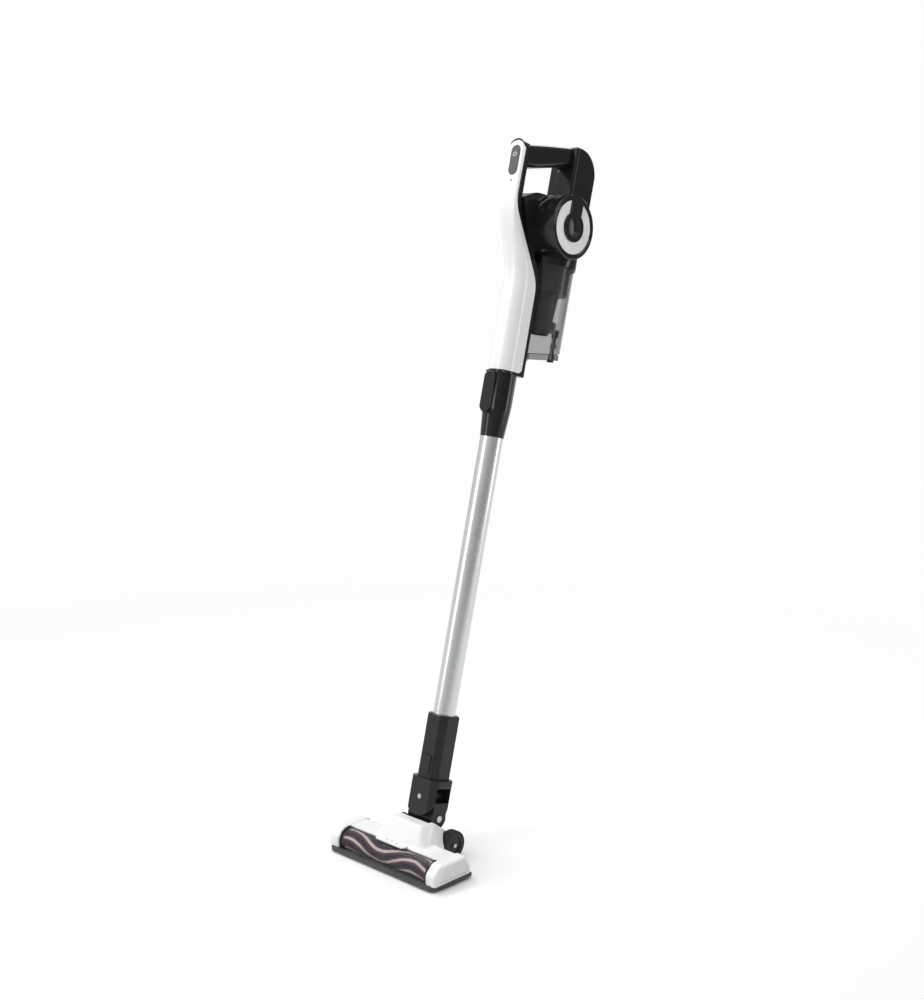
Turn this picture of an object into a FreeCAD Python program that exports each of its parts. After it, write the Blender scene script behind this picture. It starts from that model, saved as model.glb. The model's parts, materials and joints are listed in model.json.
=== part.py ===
import FreeCAD, Part
import math
import os
import re
from FreeCAD import Placement, Rotation, Vector

# Cordless stick vacuum: floor head, swivelling neck, aluminium wand and a
# handheld unit with motor drum, dust bin and battery leg.
# Millimetres. +Z is up, the head's long side runs along X and its front is -Y.
# Pieces above the neck are drawn upright about the wand's axis and then lean
# back about X by lean_angle; the head's own pieces are drawn where they stand.

doc = FreeCAD.newDocument("StickVacuum")
sheet = doc.addObject("Spreadsheet::Sheet", "Sizes")

driving = [
    ("lean_angle", 14.3, "lean of the wand towards the user, degrees"),
    ("wall", 2.4, "moulded wall thickness"),
    ("shaft_gap", 0.05, "radial clearance of a running shaft"),
    ("play", 0.4, "clearance between pieces that slide past each other"),
    ("tube_radius", 18, "outside of the wand tube"),
    ("tube_wall", 1.2, "wall of the wand tube"),
    ("tube_foot", 138, "lower end of the tube along the wand"),
    ("tube_head", 657, "upper end of the tube"),
    ("duct_radius", 14.5, "air way through the sockets"),
    ("inlet_radius", 16.2, "outside of the handheld's inlet pipe"),
    ("connector_radius", 22.2, "upper collar of the wand"),
    ("connector_top", 757, "top of the upper collar"),
    ("coupling_half", 22, "half width of the lower coupling"),
    ("coupling_foot", 121, "shoulder of the lower coupling"),
    ("coupling_top", 220, "top of the lower coupling"),
    ("spigot_radius", 18.6, "plug of the coupling in the collar"),
    ("pitch_height", 62, "pitch axis along the wand"),
    ("swing_height", 92, "side swing axis along the wand"),
    ("collar_half", 28.5, "half width of the swivel collar"),
    ("fork_half", 26, "half width of the elbow fork"),
    ("lobe_radius", 15.5, "rounded ends of the fork"),
    ("pin_radius", 4, "neck pins"),
    ("hose_radius", 9.4, "air hose through the neck"),
    ("spine_half", 22, "half width of the spine beside the bin"),
    ("grip_half", 16.3, "half width of the spine at the handle"),
    ("leg_half", 26, "half width of the battery leg"),
    ("drum_radius", 50, "motor drum"),
    ("drum_offset", 41, "drum axis behind the wand's axis"),
    ("drum_height", 1001, "drum axis along the wand"),
    ("drum_right", 58, "right face of the drum"),
    ("drum_left", 48, "left face of the drum"),
    ("ring_radius", 41.5, "silver trim ring"),
    ("hub_radius", 23, "dark hub inside the ring"),
    ("motor_radius", 32, "motor can"),
    ("bin_radius", 40, "dust bin"),
    ("bin_offset", 66, "bin axis behind the wand's axis"),
    ("bin_foot", 798, "lower rim of the bin"),
    ("bin_top", 948, "upper rim of the bin"),
    ("bin_port", 908, "centre of the dirty air port"),
    ("lid_foot", 788, "underside of the bin lid at its hinge"),
    ("bin_slant", 10, "rise of the lid towards the back, degrees"),
    ("cell_radius", 9.2, "battery cell"),
    ("cell_length", 65, "battery cell"),
    ("head_half", 115, "half width of the floor head"),
    ("head_front", 84, "front of the head's shell from the origin"),
    ("head_back", 6.5, "back of the shell beside the neck"),
    ("head_top", 38, "top of the head"),
    ("sole_low", 3, "underside of the sole plate"),
    ("sole_high", 9, "top of the sole plate"),
    ("roller_front", 62, "brush roller axis ahead of the origin"),
    ("roller_height", 18, "brush roller axis above the floor"),
    ("bristle_radius", 16.8, "tips of the bristles"),
    ("core_radius", 11.5, "brush roller core"),
    ("window_radius", 20.4, "outside of the clear window"),
    ("window_half", 95, "half width of the window"),
    ("wheel_radius", 22.5, "rear wheels"),
    ("wheel_back", 23, "rear axle behind the origin"),
    ("axle_radius", 3, "rear axle"),
    ("caster_radius", 6, "small sole rollers"),
]
for row, (alias, number, note) in enumerate(driving, start=1):
    sheet.set(f"A{row}", note)
    sheet.set(f"B{row}", str(number))
    sheet.setAlias(f"B{row}", alias)
doc.recompute()

names = iter(range(1, 10000))
subparts = []


def value(alias):
    return float(sheet.get(alias))


def formula(text):
    return re.sub(r"[a-z]\w*", lambda word: "Sizes." + word.group(0), text)


def bind(item, prop, amount):
    """A number is set once; a text is an expression of the sheet's aliases."""
    if isinstance(amount, str):
        item.setExpression(prop, formula(amount))
    elif prop.startswith("Placement.Base."):
        place = item.Placement
        setattr(place.Base, prop[-1], amount)
        item.Placement = place
    else:
        setattr(item, prop, amount)


def moveTo(item, point):
    for letter, amount in zip("xyz", point):
        bind(item, "Placement.Base." + letter, amount)
    return item


turns = {
    "X": Rotation(Vector(0, 1, 0), 90),
    "Y": Rotation(Vector(1, 0, 0), -90),
    "Z": Rotation(),
}


def new(kind, label):
    return doc.addObject(kind, f"{label}_{next(names)}")


def cylinder(radius, length, start, along="Z"):
    item = new("Part::Cylinder", "cylinder")
    bind(item, "Radius", radius)
    bind(item, "Height", length)
    item.Placement = Placement(Vector(), turns[along])
    return moveTo(item, start)


def cone(lower, upper, length, start, along="Z"):
    item = new("Part::Cone", "cone")
    bind(item, "Radius1", lower)
    bind(item, "Radius2", upper)
    bind(item, "Height", length)
    item.Placement = Placement(Vector(), turns[along])
    return moveTo(item, start)


def box(size, corner):
    item = new("Part::Box", "box")
    for prop, amount in zip(("Length", "Width", "Height"), size):
        bind(item, prop, amount)
    return moveTo(item, corner)


def fuse(*items):
    item = new("Part::MultiFuse", "fuse")
    item.Shapes = list(items)
    item.Refine = True
    return item


def cut(base, *tools):
    item = new("Part::Cut", "cut")
    item.Base = base
    item.Tool = tools[0] if len(tools) == 1 else fuse(*tools)
    return item


def common(base, tool):
    item = new("Part::Common", "common")
    item.Base = base
    item.Tool = tool
    return item


def sleeve(outer, inner, length, start, along="Z"):
    """A plain tube along one axis."""
    shift = {"X": (-1, 0, 0), "Y": (0, -1, 0), "Z": (0, 0, -1)}[along]
    low = [f"{amount} + {step}" for amount, step in zip(start, shift)]
    return cut(cylinder(outer, length, start, along), cylinder(inner, f"{length} + 2", low, along))


def outlineEdges(points):
    """Straight edges with tangent arcs; a point is (u, v) or (u, v, corner radius)."""
    edges = []
    ends = []
    count = len(points)
    for index, point in enumerate(points):
        here = Vector(point[0], point[1], 0)
        before = Vector(points[index - 1][0], points[index - 1][1], 0) - here
        after = Vector(points[(index + 1) % count][0], points[(index + 1) % count][1], 0) - here
        radius = point[2] if len(point) > 2 else 0
        if not radius:
            ends.append((here, here))
            continue
        before.normalize()
        after.normalize()
        half = before.getAngle(after) / 2
        reach = radius / math.tan(half)
        middle = (before + after).normalize()
        centre = here + middle * (radius / math.sin(half))
        first = here + before * reach
        last = here + after * reach
        edges.append(Part.Arc(first, centre - middle * radius, last))
        ends.append((first, last))
    for index in range(count):
        leave = ends[index][1]
        arrive = ends[(index + 1) % count][0]
        if leave.distanceToPoint(arrive) > 0.001:
            edges.append(Part.LineSegment(leave, arrive))
    return edges


def prism(plane, points, depth, at=(0, 0, 0)):
    """An outline on one of the body's own planes, padded the same way to both sides."""
    body = new("PartDesign::Body", "body")
    sketch = body.newObject("Sketcher::SketchObject", f"sketch_{next(names)}")
    base = [item for item in body.Origin.OriginFeatures if item.Role == plane + "_Plane"][0]
    sketch.AttachmentSupport = [(base, "")]
    sketch.MapMode = "FlatFace"
    sketch.addGeometry(outlineEdges(points), False)
    pad = body.newObject("PartDesign::Pad", f"pad_{next(names)}")
    pad.Profile = sketch
    pad.SideType = "Symmetric"
    bind(pad, "Length", depth)
    return moveTo(body, at)


def mirrored(points):
    """Closes a right-hand outline, listed from bottom to top, about the line u = 0."""
    left = [(-point[0],) + tuple(point[1:]) for point in reversed(points)]
    return points + left


def softened(base, radius, wanted):
    """Fillets the edges that wanted() picks out."""
    doc.recompute()
    picked = [number for number, edge in enumerate(base.Shape.Edges, start=1) if wanted(edge)]
    item = new("Part::Fillet", "fillet")
    item.Base = base
    item.Edges = [(number, radius, radius) for number in picked]
    return item


def keep(item, node, leaning=False):
    """Names a finished sub-part and leans it back if it is above the neck."""
    if leaning and not item.TypeId.startswith(("Part::Cut", "Part::MultiFuse", "Part::Common")):
        inner = item
        item = new("Part::Refine", "piece")
        item.Source = inner
    if leaning:
        item.Placement = Placement(Vector(), Rotation(Vector(1, 0, 0), -value("lean_angle")))
        item.setExpression("Placement.Rotation.Angle", "-Sizes.lean_angle")
    item.Label = node
    subparts.append(item)
    return item


# ---------------------------------------------------------------- wand

def wand():
    keep(sleeve("tube_radius", "tube_radius - tube_wall", "tube_head - tube_foot",
                (0, 0, "tube_foot")), "wand_tube", leaning=True)

    # upper collar: plug in the tube, flare, and a socket for the handheld's inlet
    plug = cylinder("tube_radius - tube_wall - 0.05", 36, (0, 0, "tube_head - 35"))
    flare = cone("tube_radius + 0.6", "connector_radius", 44, (0, 0, "tube_head"))
    grip = cylinder("connector_radius", "connector_top - tube_head - 44", (0, 0, "tube_head + 44"))
    back = cylinder("connector_radius - 1", "connector_top - tube_head - 50", (0, 2.2, "tube_head + 50"))
    boss = prism("XZ", mirrored([(11, 692, 8), (11, 757, 2)]), 14, (0, -18, 0))
    bore = cylinder("duct_radius", 200, (0, 0, "tube_head - 60"))
    socket = cylinder("inlet_radius + play", 60, (0, 0, "connector_top - 46"))
    pocket = prism("XZ", mirrored([(8.4, 699, 7), (8.4, 754, 7)]), 10, (0, -25, 0))
    upper = [cylinder(1.2, 14, (x, 19.6, "connector_top - 8")) for x in (-5, 0, 5)]
    keep(cut(fuse(plug, flare, grip, back, boss), bore, socket, pocket, *upper), "wand_connector",
         leaning=True)

    # release button of the handheld, in the pocket on the collar's front
    pad = prism("XZ", mirrored([(11, 694, 9), (11, 757, 9)]), 3, (0, -28, 0))
    stem = prism("XZ", mirrored([(7.8, 701, 6.4), (7.8, 752, 6.4)]), 4, (0, -25.1, 0))
    keep(fuse(pad, stem), "wand_release_button", leaning=True)

    # lower coupling: socket round the tube, plug for the swivel collar
    chamfer = 9.5
    half = value("coupling_half")
    plan = [(half, -half + chamfer), (half, half - chamfer), (half - chamfer, half),
            (-half + chamfer, half), (-half, half - chamfer), (-half, -half + chamfer),
            (-half + chamfer, -half), (half - chamfer, -half)]
    block = prism("XY", plan, "coupling_top - coupling_foot",
                  (0, 0, "(coupling_top + coupling_foot) / 2"))
    top = value("coupling_top") - 0.1
    shoulders = softened(block, 3, lambda edge: edge.BoundBox.ZMin > top - 0.5)
    spigot = cylinder("spigot_radius", 11.4, (0, 0, "coupling_foot - 11.4"))
    tube = cylinder("tube_radius + 0.05", 100, (0, 0, "tube_foot"))
    bore = cylinder("duct_radius", 100, (0, 0, "coupling_foot - 20"))
    recess = prism("XZ", mirrored([(9.5, 127, 3), (9.5, 157, 3)]), 3, (0, -21.5, 0))
    lower = [cylinder(0.9, 10, (x, 16.4, "coupling_foot - 8")) for x in (-4, 0, 4)]
    keep(cut(fuse(shoulders, spigot), tube, bore, recess, *lower), "lower_coupling", leaning=True)
    latch = prism("XZ", mirrored([(9, 127.5, 2.5), (9, 156.5, 2.5)]), 2.6, (0, -22.2, 0))
    keep(latch, "head_release_button", leaning=True)

    # three contact pins at each end carry the brush motor's current
    keep(fuse(*upper, *lower), "contact_pins", leaning=True)


# ---------------------------------------------------------------- neck

def neck():
    half = value("collar_half")
    swing = value("swing_height")
    arch = 29
    chamfer = 9
    front = -25
    back = 23
    plan = [(half, front + chamfer), (half, back - chamfer), (half - chamfer, back),
            (-half + chamfer, back), (-half, back - chamfer), (-half, front + chamfer),
            (-half + chamfer, front), (half - chamfer, front)]
    block = prism("XY", plan, 64.7, (0, 0, 88.35))
    # the sides are open below the socket, so that the collar can swing about the elbow
    room = box(("2 * collar_half + 2", 33.2, 55), ("-collar_half - 1", -16.6, 54))
    disc = cylinder(arch, 60, (0, -30, "swing_height"), "Y")
    above = box((60, 60, 40), (-30, -30, "swing_height"))
    keeper = fuse(disc, above)
    socket = cylinder("spigot_radius + shaft_gap", 20, (0, 0, "coupling_foot - 12"))
    duct = cylinder("duct_radius", 30, (0, 0, 95))
    bores = [cylinder("pin_radius + shaft_gap", 12, (0, start, "swing_height"), "Y")
             for start in (-25.5, 13.5)]
    keep(cut(common(block, keeper), room, socket, duct, *bores), "swivel_collar", leaning=True)

    # elbow: fork with rounded ends on the head's stub, knuckle inside the collar
    lobes = [cylinder("lobe_radius", 7.6, (start, 0, "pitch_height"), "X") for start in (-26, 18.4)]
    cheeks = [box((7.6, 29, 22), (start, -14.5, "pitch_height")) for start in (-26, 18.4)]
    web = box(("2 * fork_half", 31, 7), ("-fork_half", -15.5, "pitch_height + 17"))
    knuckle = cylinder(13, 32.4, (0, -16.2, "swing_height"), "Y")
    hose = cylinder("hose_radius + 0.1", 60, (0, 0, "pitch_height + 10"))
    runs = [cylinder("pin_radius", 8, (0, start, "swing_height"), "Y") for start in (-17, 9)]
    screws = [cylinder("pin_radius", 20, (start, 0, "pitch_height"), "X") for start in (-30, 10)]
    keep(cut(fuse(*lobes, *cheeks, web, knuckle), hose, *runs, *screws), "elbow_fork", leaning=True)
    screws = [fuse(cylinder("pin_radius", 15.8, (start, 0, "pitch_height"), "X"),
                   cylinder(5.2, 1.2, (face, 0, "pitch_height"), "X"))
              for start, face in ((-26.2, -27.4), (10.4, 26.2))]
    pins = [cylinder("pin_radius", length, (0, start, "swing_height"), "Y")
            for start, length in ((-24.4, 14), (10.4, 12))]
    keep(fuse(*screws, *pins), "neck_pins", leaning=True)
    keep(sleeve("hose_radius", "hose_radius - 1", 24, (0, 0, "pitch_height + 16.6")),
         "flex_hose", leaning=True)


# ---------------------------------------------------------------- handheld

def spineLoft(inset, low, high):
    """The spine's body: deep beside the bin, then easing forward into the flat handle bar."""
    bend_start = 896
    bend_end = 1026
    steps = 22
    stations = [low] + [bend_start + (bend_end - bend_start) * n / steps for n in range(steps + 1)] + [high]
    wires = []
    for height in stations:
        share = min(max((height - bend_start) / (bend_end - bend_start), 0), 1)
        ease = (1 - math.cos(math.pi * share)) / 2
        half = value("spine_half") + (value("grip_half") - value("spine_half")) * ease - inset
        front = -21.5 - 35.5 * ease + inset
        back = 25.5 - 68 * ease - inset
        corner = 18.5 - 13.5 * ease - inset
        plan = [(half, front, corner), (half, back, 1), (-half, back, 1), (-half, front, corner)]
        edges = [curve.toShape() for curve in outlineEdges(plan)]
        wire = Part.Wire(Part.__sortEdges__(edges))
        wire.translate(Vector(0, 0, height))
        wires.append(wire)
    item = new("Part::Feature", "loft")
    item.Shape = Part.makeLoft(wires, True, True)
    return item


def spineEnvelope():
    arch = value("grip_half") + 0.5
    crown = prism("XZ", mirrored([(30, 740), (30, 1069), (arch, 1070), (arch, 1115, arch - 0.1)]), 140)
    return common(spineLoft(0, value("connector_top") + 0.3, 1115.5), crown)


def spineCavity():
    return spineLoft(value("wall"), 750, 1105.5)


def spineFrontRegion():
    """All that is ahead of the seam between the white cover and the black shell, below its rim."""
    side = [(-90, 762), (18, 762, 8), (18, 905, 60), (-54, 1015, 60), (-52, 1160), (-90, 1160)]
    arch = value("grip_half") + 0.5
    rim = prism("XZ", mirrored([(30, 740), (30, 1066), (arch, 1067), (arch, 1112, arch - 0.1)]), 200)
    return common(prism("YZ", side, 80), rim)


def spine():
    envelope = spineEnvelope()
    button = prism("XZ", mirrored([(9.1, 1057.6, 9), (9.1, 1104.4, 9)]), 8, (0, -55, 0))
    lens = cylinder(1.3, 8, (0, -60, 1049), "Y")
    cover = common(envelope, spineFrontRegion())
    keep(cut(cover, spineCavity(), button, lens), "spine_cover", leaning=True)

    port = cylinder(11, 40, (0, 0, "bin_port"), "Y")
    socket = cylinder("inlet_radius + 0.1", 20, (0, 0, 745))
    pins = [cylinder(1.3, 30, (x, 19.6, 740)) for x in (-5, 0, 5)]
    floor = cut(box((38, 41, 3), (-19, -18.5, 757.4)), socket, *pins)
    shell = cut(envelope, spineFrontRegion(), spineCavity(), port)
    keep(fuse(shell, floor), "spine_shell", leaning=True)

    # inlet pipe from the wand up to the bin's port
    outer = fuse(cylinder("inlet_radius", "bin_port - 705", (0, 0, 716)),
                 cylinder(10.2, 25.6, (0, 0, "bin_port"), "Y"))
    inner = fuse(cylinder("inlet_radius - 1.8", "bin_port - 706", (0, 0, 715)),
                 cylinder(8.4, 30, (0, 0, "bin_port"), "Y"))
    keep(cut(outer, inner), "inlet_pipe", leaning=True)

    pill = prism("XZ", mirrored([(8.7, 1058, 8.6), (8.7, 1104, 8.6)]), 4.4, (0, -55.9, 0))
    keep(pill, "power_button", leaning=True)
    spring = sleeve(3, 2.2, 2.4, (0, -53.6, 1081), "Y")
    keep(spring, "button_spring", leaning=True)
    board = box((20, 1.6, 56), (-10, -51, 1048))
    keep(board, "control_board", leaning=True)
    keep(cylinder(1.25, 5, (0, -57.6, 1049), "Y"), "indicator_lens", leaning=True)


def handle():
    # hollow grip between the spine and the battery leg
    bar = prism("YZ", [(-42.4, 1073), (-22, 1078, 30), (8, 1088, 60), (57.4, 1105),
                       (57.4, 1136), (0, 1121, 120), (-42.4, 1109)], "2 * grip_half")
    grip = softened(bar, 7.5, lambda edge: edge.BoundBox.YLength > 6 and edge.BoundBox.XLength < 1)
    hollow = prism("YZ", [(-50, 1084), (0, 1093, 40), (60, 1114), (60, 1127), (-50, 1100)],
                   "2 * grip_half - 12")
    keep(cut(grip, hollow), "grip_bar", leaning=True)

    leg = prism("YZ", [(57.5, 1040), (57.5, 1137, 3), (113, 1145, 41), (112, 1034, 30), (86, 1010)],
                "2 * leg_half")
    rounded = softened(leg, 5, lambda edge: edge.BoundBox.XLength < 0.5 and edge.BoundBox.YMin > 58)
    drum = cylinder("drum_radius + 0.02", 120, (-60, "drum_offset", "drum_height"), "X")
    cells = prism("YZ", [(61, 1053), (61, 1125), (105, 1125, 11), (105, 1053)], "2 * leg_half - 5")
    entry = box((12, 10, 10), (-6, 54, 1110))
    jack = cylinder(3.6, 20, (0, 100, 1062), "Y")
    heads = [cylinder(3.2, 4, ("-leg_half - 1", y, z), "X") for y, z in ((66, 1128), (98, 1049))]
    keep(cut(rounded, drum, cells, entry, jack, *heads), "battery_leg", leaning=True)
    screws = [cylinder(3, 2.4, ("-leg_half + 0.5", y, z), "X") for y, z in ((66, 1128), (98, 1049))]
    keep(fuse(*screws), "housing_screws", leaning=True)

    places = [(x, y) for x in (-9.6, 9.6) for y in (73, 92.4)]
    cells = [cylinder("cell_radius", "cell_length", (x, y, 1056)) for x, y in places]
    keep(fuse(*cells), "battery_cells", leaning=True)
    keep(sleeve(3.5, 2.75, 11, (0, 101, 1062), "Y"), "charge_socket", leaning=True)


def motorDrum():
    axis = ("drum_offset", "drum_height")
    body = cylinder("drum_radius", "drum_left + 25", ("13 - drum_left", *axis), "X")
    neckOutline = [(-42.4, 1027), (-16, 1042, 45), (41, 1048), (60, 985), (41, 955), (-10, 955)]
    joint = cut(prism("YZ", neckOutline, 40), spineEnvelope())
    collar = cylinder("bin_radius + 2.4", 40, (0, "bin_offset", "bin_top - 5"))
    caps = [cylinder("drum_radius + 0.2", 30, (start, *axis), "X") for start in ("-17 - drum_left", 38)]
    inside = cylinder("drum_radius - wall", "drum_left + 21", ("15.4 - drum_left", *axis), "X")
    bay = cylinder("bin_radius + play", 6.6, (0, "bin_offset", "bin_top - 5"))
    mouth = cylinder(22, 20, (0, "bin_offset", "bin_top - 5"))
    release = box((16.8, 8, 10.8), (-8.4, 103.5, "bin_top + 4"))
    keep(cut(fuse(body, joint, collar), inside, bay, mouth, release, *caps), "motor_housing",
         leaning=True)
    button = box((16, 3.4, 10), (-8, 106.2, "bin_top + 4.4"))
    keep(button, "bin_release_button", leaning=True)

    # right cap: rim, silver ring and hub with its keyhole arm
    rim = cylinder("drum_radius", "drum_right - 38.4", (38.1, *axis), "X")
    dish = cylinder("ring_radius + 0.05", 5, ("drum_right - 4", *axis), "X")
    hollow = cylinder("drum_radius - wall", 9, (38, *axis), "X")
    keep(softened(cut(rim, dish, hollow), 2, lambda edge: edge.BoundBox.XMin > 57.4
                  and edge.BoundBox.ZLength > 99), "drum_cap_right", leaning=True)
    disc = cylinder("ring_radius", 3, ("drum_right - 3.9", *axis), "X")
    core = cylinder("hub_radius + 0.05", 5, ("drum_right - 4.5", *axis), "X")
    arm = box((6, 28, 50), ("drum_right - 5", "drum_offset - 14", "drum_height"))
    keep(cut(disc, core, arm), "trim_ring", leaning=True)
    puck = cylinder("hub_radius", 5.4, ("drum_right - 3.95", *axis), "X")
    web = box((4.6, 27.8, 41), ("drum_right - 3.95", "drum_offset - 13.9", "drum_height"))
    inner = cylinder("ring_radius", 8, ("drum_right - 5", *axis), "X")
    keep(common(fuse(puck, web), inner), "hub_cap", leaning=True)

    cap = cylinder("drum_radius", 12.9, ("-drum_left", *axis), "X")
    pan = cylinder("drum_radius - wall", 11, ("wall - drum_left", *axis), "X")
    slots = [box((6, 3, 64), ("-drum_left - 2", y, "drum_height - 32")) for y in range(21, 62, 8)]
    keep(cut(cap, pan, *slots), "drum_cap_left", leaning=True)
    keep(sleeve(44, 12, 8, ("3 - drum_left", *axis), "X"), "exhaust_filter", leaning=True)

    # motor and its fan on one shaft
    can = cylinder("motor_radius", 46, (-12, *axis), "X")
    bore = cylinder("pin_radius + shaft_gap", 60, (-20, *axis), "X")
    keep(cut(can, bore), "motor_can", leaning=True)
    shaft = cylinder("pin_radius", 58, (-28, *axis), "X")
    plate = cylinder("motor_radius - 2", 2, (-28, *axis), "X")
    blades = [box((9, 1.6, 18), (-26.2, -0.8, 11)) for number in range(8)]
    for number, blade in enumerate(blades):
        place = Placement(Vector(0, value("drum_offset"), value("drum_height")),
                          Rotation(Vector(1, 0, 0), 45 * number))
        blade.Placement = place.multiply(blade.Placement)
    keep(fuse(shaft, plate, *blades), "motor_fan", leaning=True)


# ---------------------------------------------------------------- dust bin

def slanted(item):
    """Tilts what lies along the bin's lid about the lid's hinge."""
    tilted = new("Part::Refine", "slant")
    tilted.Source = item
    tilted.Placement = Placement(Vector(), Rotation(Vector(1, 0, 0), value("bin_slant")), Vector(0, 31, 788))
    return tilted


def dustBin():
    centre = ("bin_offset",)
    shell = cylinder("bin_radius", "bin_top - bin_foot + 2", (0, *centre, "bin_foot - 2"))
    below = slanted(box((100, 120, 40), (-50, 10, "bin_foot - 40")))
    inside = cylinder("bin_radius - 2", "bin_top - bin_foot + 20", (0, *centre, "bin_foot - 10"))
    port = cylinder(11, 14, (0, 22, "bin_port"), "Y")
    hinge = [fuse(box((4, 4.4, 11.5), (start, 27.3, 788)), cylinder(3, 4, (start, 31, 788), "X"))
             for start in (-16.5, 12.5)]
    sealed = slanted(cylinder("bin_radius - 2", 1.1, (0, *centre, "bin_foot - 1.1")))
    inner = cylinder("bin_radius - 2.01", 34, (0, *centre, 793))
    latch = [box((2.4, 7, 7), (start, 104.5, 821.5)) for start in (-6.4, 4)]
    within = cylinder("bin_radius - 1", 80, (0, *centre, 780))
    holes = [cylinder(1.5, 60, (-30, 31, 788), "X"), cylinder(1, 40, (-20, 109, 825), "X")]
    ears = cut(fuse(cut(fuse(*hinge), inner, sealed), cut(fuse(*latch), within)), *holes)
    keep(fuse(cut(shell, inside, port, below), ears), "bin_shell", leaning=True)

    # cyclone: shroud, cone and outlet tube in one piece hanging from the bin's top
    outside = fuse(cylinder(35, "bin_top - 901", (0, *centre, 901)), cone(20, 23, 46, (0, *centre, 856)),
                   cylinder(27.5, 14, (0, *centre, 842)), cylinder(17, 8, (0, *centre, 836)),
                   cylinder(37.9, 4, (0, *centre, "bin_top - 4")))
    inside = fuse(cylinder(33, 64, (0, *centre, 903)), cone(17.5, 21, 46, (0, *centre, 858)),
                  cylinder(15, 40, (0, *centre, 830)))
    keep(cut(outside, inside), "cyclone_shroud", leaning=True)
    keep(sleeve(31, 12, 40, (0, *centre, 905)), "filter_cartridge", leaning=True)
    upper = sleeve("bin_radius - 0.5", 34, 0.9, (0, *centre, "bin_top + 0.1"))
    lower = sleeve("bin_radius - 2.2", 33, 0.85, (0, *centre, "bin_foot - 0.9"))
    keep(fuse(upper, slanted(lower)), "bin_seals", leaning=True)

    # lid with its hinge at the front, under the rim
    disc = cylinder("bin_radius", "bin_foot - lid_foot - 1", (0, *centre, "lid_foot"))
    trim = fuse(box((90, 12, 30), (-45, 20, 775)), box((34.6, 16, 30), (-17.3, 18.6, 775)))
    lug = box((24, 8, 4), (-12, 29, 786))
    eye = cylinder(3, 24, (-12, 31, 788), "X")
    hole = cylinder("1.5 + shaft_gap", 60, (-30, 31, 788), "X")
    keep(slanted(cut(fuse(cut(disc, trim), lug, eye), hole)), "bin_lid", leaning=True)

    # latch lever at the back: thumb pad above, hook below
    bar = box((7, 2.4, 46), (-3.5, 107.2, 803))
    pad = box((12, 3.6, 12), (-6, 107.2, 839))
    hook = box((11, 4.1, 2.6), (-5.5, 105.5, 798.2))
    tail = box((11, 2.4, 12), (-5.5, 107.2, 798.2))
    eye = cylinder(2.4, 7, (-3.5, 109, 825), "X")
    hole = cylinder("1 + shaft_gap", 40, (-20, 109, 825), "X")
    keep(cut(fuse(bar, pad, hook, tail, eye), hole), "lid_latch", leaning=True)
    keep(fuse(cylinder(1.5, 33, (-16.5, 31, 788), "X"), cylinder(1, 12.8, (-6.4, 109, 825), "X")),
         "bin_pins", leaning=True)


# ---------------------------------------------------------------- floor head

def headSide(inset):
    """Side outline of the head's shell, its walls inset from the outside."""
    front = -value("head_front") + inset
    back = -value("head_back") - inset
    top = value("head_top") - inset
    return [(front, value("sole_high")), (front, 24, 8), (front + 14, top, 14), (-16, top, 8),
            (back, value("sole_high") + 10, 4), (back, value("sole_high"))]


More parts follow.
